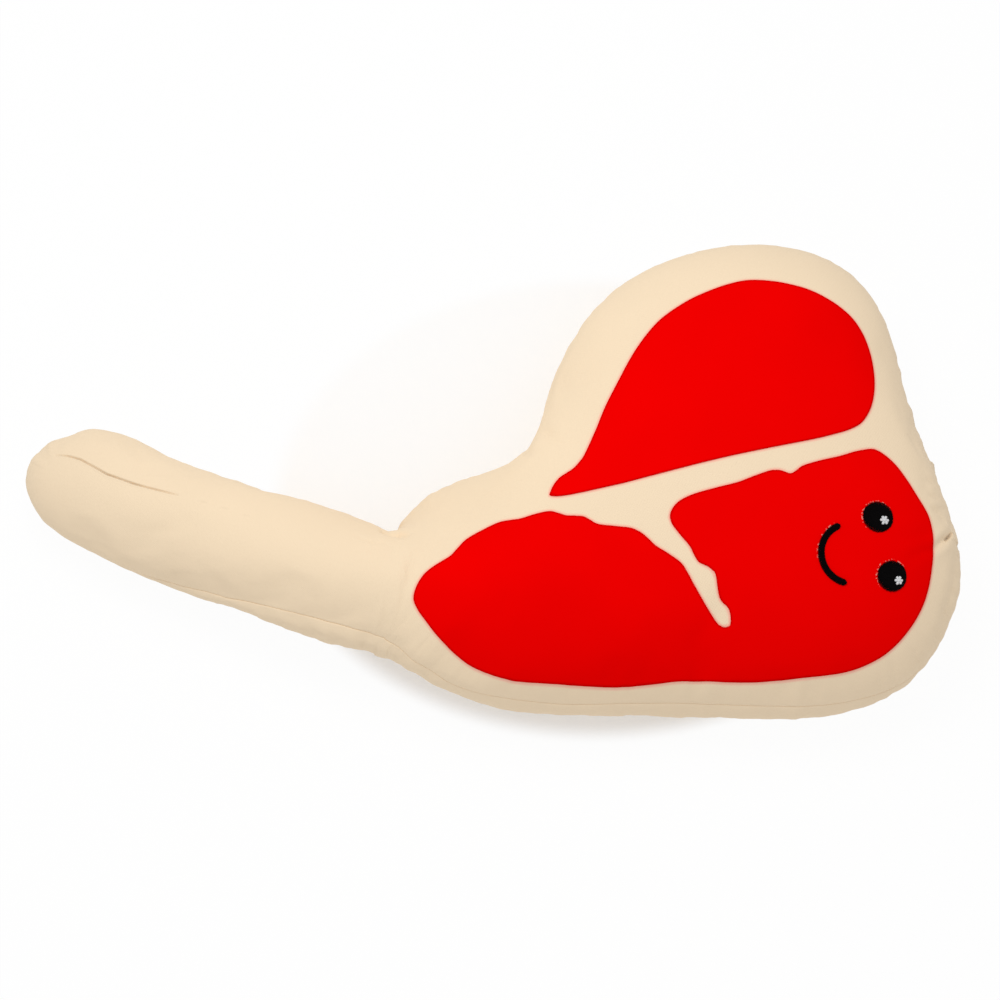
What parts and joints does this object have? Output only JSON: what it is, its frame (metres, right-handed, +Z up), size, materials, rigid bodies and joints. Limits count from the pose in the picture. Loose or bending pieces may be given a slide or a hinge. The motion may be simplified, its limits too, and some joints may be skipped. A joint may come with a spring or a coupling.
{
  "type": "steak dog toy",
  "caption": "Stuffed cloth dog toy shaped like a T-bone steak, with red meat areas, a bone handle to grip and throw, a stitched smiling face and a squeaker inside.",
  "frame": {"origin": "on the table under the middle of the toy's overall length and width", "axes": "+Z up, the way the face looks, -X towards the tip of the bone handle, +X towards the face, +Y towards the upper meat area"},
  "size_m": [0.3422, 0.1718, 0.0667],
  "materials": {
    "cream_cloth": "brushed cotton cloth, matte, cream",
    "red_film": "thin red fused area, matte with a slight sheen",
    "black_thread": "black satin stitch",
    "white_thread": "white satin stitch",
    "backing_cloth": "white non-woven embroidery backing",
    "fibre_fill": "white polyester fibre, matte",
    "soft_plastic": "soft translucent blown plastic",
    "hard_plastic": "white moulded plastic"
  },
  "bodies": {
    "root": {"front_panel": "cream_cloth", "back_panel": "cream_cloth", "upper_meat_patch": "red_film", "lower_meat_patch": "red_film", "left_eye": "black_thread", "right_eye": "black_thread", "left_eye_glint": "white_thread", "right_eye_glint": "white_thread", "smile": "black_thread", "face_backing": "backing_cloth", "body_fill_front": "fibre_fill", "body_fill_back": "fibre_fill", "handle_fill": "fibre_fill", "squeaker_bulb": "soft_plastic", "squeaker_cap": "hard_plastic", "squeaker_reed": "hard_plastic"}
  },
  "joints": []
}
